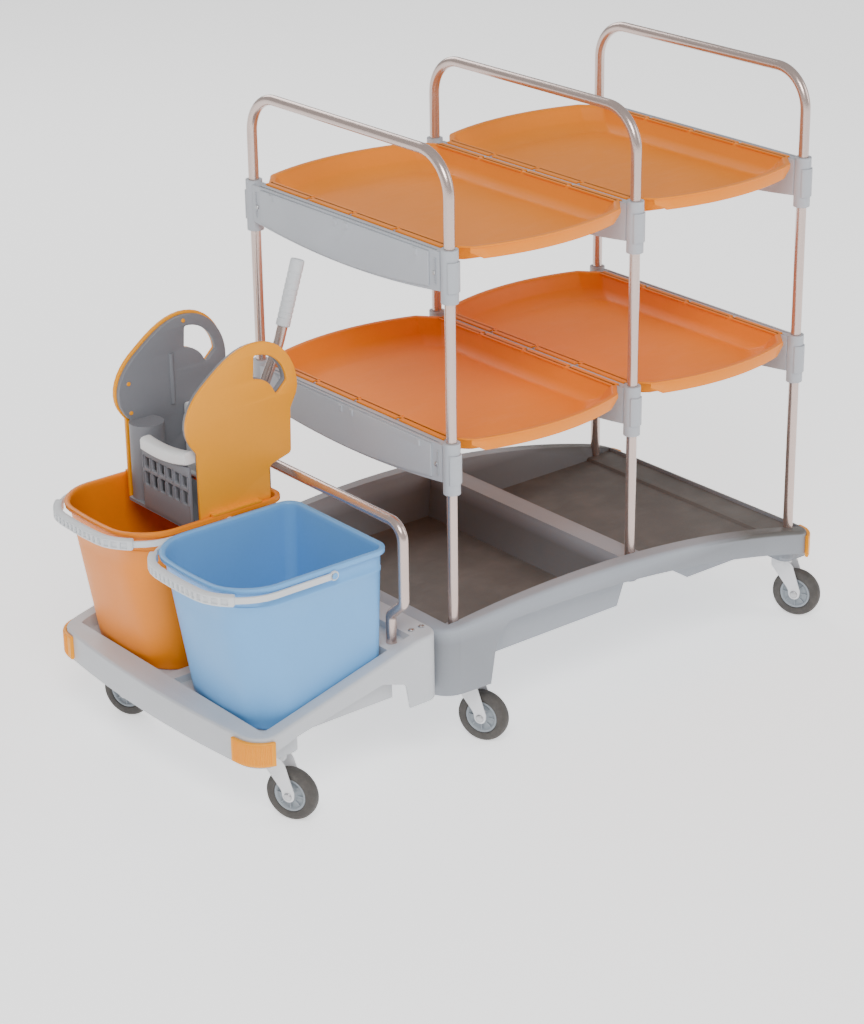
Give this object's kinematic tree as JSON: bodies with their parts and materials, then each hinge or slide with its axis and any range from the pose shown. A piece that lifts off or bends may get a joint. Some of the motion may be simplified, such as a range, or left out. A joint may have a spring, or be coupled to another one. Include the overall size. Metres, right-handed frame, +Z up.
{
  "type": "housekeeping cart",
  "caption": "Rolling housekeeping cart: deck tray with tube hoops and lift-out trays, and a low bucket platform with two buckets and a down-press mop wringer.",
  "frame": {"origin": "on the floor under the middle of the cart", "axes": "+X along the cart from the bucket end to the free end, +Y to the side away from the camera, +Z up"},
  "size_m": [1.4661, 0.6782, 1.155],
  "materials": {
    "deck_grey": "moulded plastic, lightly textured",
    "platform_grey": "moulded plastic, lightly textured",
    "panel_grey": "moulded plastic",
    "collar_grey": "moulded plastic",
    "satin_tube": "powder-coated steel tube",
    "orange_plastic": "moulded plastic, soft gloss",
    "bumper_orange": "moulded plastic",
    "blue_plastic": "moulded plastic, soft gloss",
    "white_plastic": "moulded plastic",
    "zinc_steel": "zinc-plated steel",
    "bail_grey": "moulded plastic",
    "liner_grey": "moulded plastic",
    "caster_grey": "moulded plastic",
    "hub_grey": "moulded plastic",
    "tyre_rubber": "grey rubber tread"
  },
  "bodies": {
    "frame": {"base_tray": "deck_grey", "beam_lower_left": "collar_grey", "beam_lower_middle": "collar_grey", "beam_lower_right": "collar_grey", "beam_panels_lower": "panel_grey", "beam_panels_upper": "panel_grey", "beam_upper_left": "collar_grey", "beam_upper_middle": "collar_grey", "beam_upper_right": "collar_grey", "bucket_tube": "satin_tube", "caster_mounts": "zinc_steel", "collar_covers_lower": "collar_grey", "collar_covers_upper": "collar_grey", "corner_bumpers": "bumper_orange", "coupling_bolts": "zinc_steel", "hoop_left": "satin_tube", "hoop_middle": "satin_tube", "hoop_right": "satin_tube", "platform_tray": "platform_grey", "screws": "zinc_steel"},
    "caster_deck_left_near": {"fork_deck_left_near": "caster_grey"},
    "wheel_deck_left_near": {"hub_deck_left_near": "hub_grey", "tyre_deck_left_near": "tyre_rubber"},
    "caster_deck_left_far": {"fork_deck_left_far": "caster_grey"},
    "wheel_deck_left_far": {"hub_deck_left_far": "hub_grey", "tyre_deck_left_far": "tyre_rubber"},
    "caster_deck_right_near": {"fork_deck_right_near": "caster_grey"},
    "wheel_deck_right_near": {"hub_deck_right_near": "hub_grey", "tyre_deck_right_near": "tyre_rubber"},
    "caster_deck_right_far": {"fork_deck_right_far": "caster_grey"},
    "wheel_deck_right_far": {"hub_deck_right_far": "hub_grey", "tyre_deck_right_far": "tyre_rubber"},
    "caster_platform_near": {"fork_platform_near": "caster_grey"},
    "wheel_platform_near": {"hub_platform_near": "hub_grey", "tyre_platform_near": "tyre_rubber"},
    "caster_platform_far": {"fork_platform_far": "caster_grey"},
    "wheel_platform_far": {"hub_platform_far": "hub_grey", "tyre_platform_far": "tyre_rubber"},
    "tray_upper_left": {"tray_upper_left": "orange_plastic"},
    "tray_upper_right": {"tray_upper_right": "orange_plastic"},
    "tray_lower_left": {"tray_lower_left": "orange_plastic"},
    "tray_lower_right": {"tray_lower_right": "orange_plastic"},
    "bucket_blue": {"bucket_blue": "blue_plastic"},
    "bail_blue": {"bail_blue": "bail_grey", "bail_grip_blue": "bail_grey"},
    "bucket_orange": {"bucket_orange": "orange_plastic"},
    "bail_orange": {"bail_orange": "bail_grey", "bail_grip_orange": "bail_grey"},
    "wringer": {"near_cover": "bumper_orange", "near_liner": "liner_grey", "far_liner": "liner_grey", "far_cover": "bumper_orange", "basket": "white_plastic", "saddle": "white_plastic", "wringer_pins": "bumper_orange", "return_spring": "zinc_steel"},
    "lever": {"lever_shaft": "white_plastic", "lever_rod": "satin_tube", "lever_grip": "bail_grey"},
    "jaw": {"press_jaw": "white_plastic"}
  },
  "joints": [
    {"name": "swivel_deck_left_near", "type": "hinge", "parent": "frame", "child": "caster_deck_left_near", "pos_m": [-0.1565, -0.258, 0.12], "axis": [0, 0, 1], "continuous": true},
    {"name": "roll_deck_left_near", "type": "hinge", "parent": "caster_deck_left_near", "child": "wheel_deck_left_near", "pos_m": [-0.14267, -0.28906, 0.05], "axis": [0.9135, 0.4067, 0], "continuous": true},
    {"name": "swivel_deck_left_far", "type": "hinge", "parent": "frame", "child": "caster_deck_left_far", "pos_m": [-0.1565, 0.258, 0.12], "axis": [0, 0, 1], "continuous": true},
    {"name": "roll_deck_left_far", "type": "hinge", "parent": "caster_deck_left_far", "child": "wheel_deck_left_far", "pos_m": [-0.14267, 0.22694, 0.05], "axis": [0.9135, 0.4067, 0], "continuous": true},
    {"name": "swivel_deck_right_near", "type": "hinge", "parent": "frame", "child": "caster_deck_right_near", "pos_m": [0.6875, -0.258, 0.12], "axis": [0, 0, 1], "continuous": true},
    {"name": "roll_deck_right_near", "type": "hinge", "parent": "caster_deck_right_near", "child": "wheel_deck_right_near", "pos_m": [0.70133, -0.28906, 0.05], "axis": [0.9135, 0.4067, 0], "continuous": true},
    {"name": "swivel_deck_right_far", "type": "hinge", "parent": "frame", "child": "caster_deck_right_far", "pos_m": [0.6875, 0.258, 0.12], "axis": [0, 0, 1], "continuous": true},
    {"name": "roll_deck_right_far", "type": "hinge", "parent": "caster_deck_right_far", "child": "wheel_deck_right_far", "pos_m": [0.70133, 0.22694, 0.05], "axis": [0.9135, 0.4067, 0], "continuous": true},
    {"name": "swivel_platform_near", "type": "hinge", "parent": "frame", "child": "caster_platform_near", "pos_m": [-0.6085, -0.266, 0.12], "axis": [0, 0, 1], "continuous": true},
    {"name": "roll_platform_near", "type": "hinge", "parent": "caster_platform_near", "child": "wheel_platform_near", "pos_m": [-0.59467, -0.29706, 0.05], "axis": [0.9135, 0.4067, 0], "continuous": true},
    {"name": "swivel_platform_far", "type": "hinge", "parent": "frame", "child": "caster_platform_far", "pos_m": [-0.6085, 0.266, 0.12], "axis": [0, 0, 1], "continuous": true},
    {"name": "roll_platform_far", "type": "hinge", "parent": "caster_platform_far", "child": "wheel_platform_far", "pos_m": [-0.59467, 0.23494, 0.05], "axis": [0.9135, 0.4067, 0], "continuous": true},
    {"name": "lift_tray_upper_left", "type": "slide", "parent": "frame", "child": "tray_upper_left", "axis": [0, 0, 1], "range_m": [0, 0.12]},
    {"name": "lift_tray_upper_right", "type": "slide", "parent": "frame", "child": "tray_upper_right", "axis": [0, 0, 1], "range_m": [0, 0.12]},
    {"name": "lift_tray_lower_left", "type": "slide", "parent": "frame", "child": "tray_lower_left", "axis": [0, 0, 1], "range_m": [0, 0.12]},
    {"name": "lift_tray_lower_right", "type": "slide", "parent": "frame", "child": "tray_lower_right", "axis": [0, 0, 1], "range_m": [0, 0.12]},
    {"name": "lift_bucket_blue", "type": "slide", "parent": "frame", "child": "bucket_blue", "axis": [0, 0, 1], "range_m": [0, 0.3]},
    {"name": "swing_bail_blue", "type": "hinge", "parent": "bucket_blue", "child": "bail_blue", "pos_m": [-0.4975, -0.157, 0.4503], "axis": [0, 1, 0], "range_deg": [0, 145]},
    {"name": "lift_bucket_orange", "type": "slide", "parent": "frame", "child": "bucket_orange", "axis": [0, 0, 1], "range_m": [0, 0.3]},
    {"name": "swing_bail_orange", "type": "hinge", "parent": "bucket_orange", "child": "bail_orange", "pos_m": [-0.4975, 0.157, 0.4503], "axis": [0, 1, 0], "range_deg": [0, 55]},
    {"name": "lift_wringer", "type": "slide", "parent": "bucket_orange", "child": "wringer", "axis": [0, 0, 1], "range_m": [0, 0.15]},
    {"name": "press_lever", "type": "hinge", "parent": "wringer", "child": "lever", "pos_m": [-0.3985, 0.09, 0.56], "axis": [0, -1, 0], "range_deg": [0, 70], "stiffness_Nm_per_rad": 2, "springref_deg": -34.38},
    {"name": "press_jaw", "type": "hinge", "parent": "wringer", "child": "jaw", "pos_m": [-0.4245, 0.141, 0.4583], "axis": [0, -1, 0], "range_deg": [0, 14]}
  ],
  "couplings": [
    {"joint": "press_jaw", "follows": "press_lever", "ratio": 0.2}
  ]
}
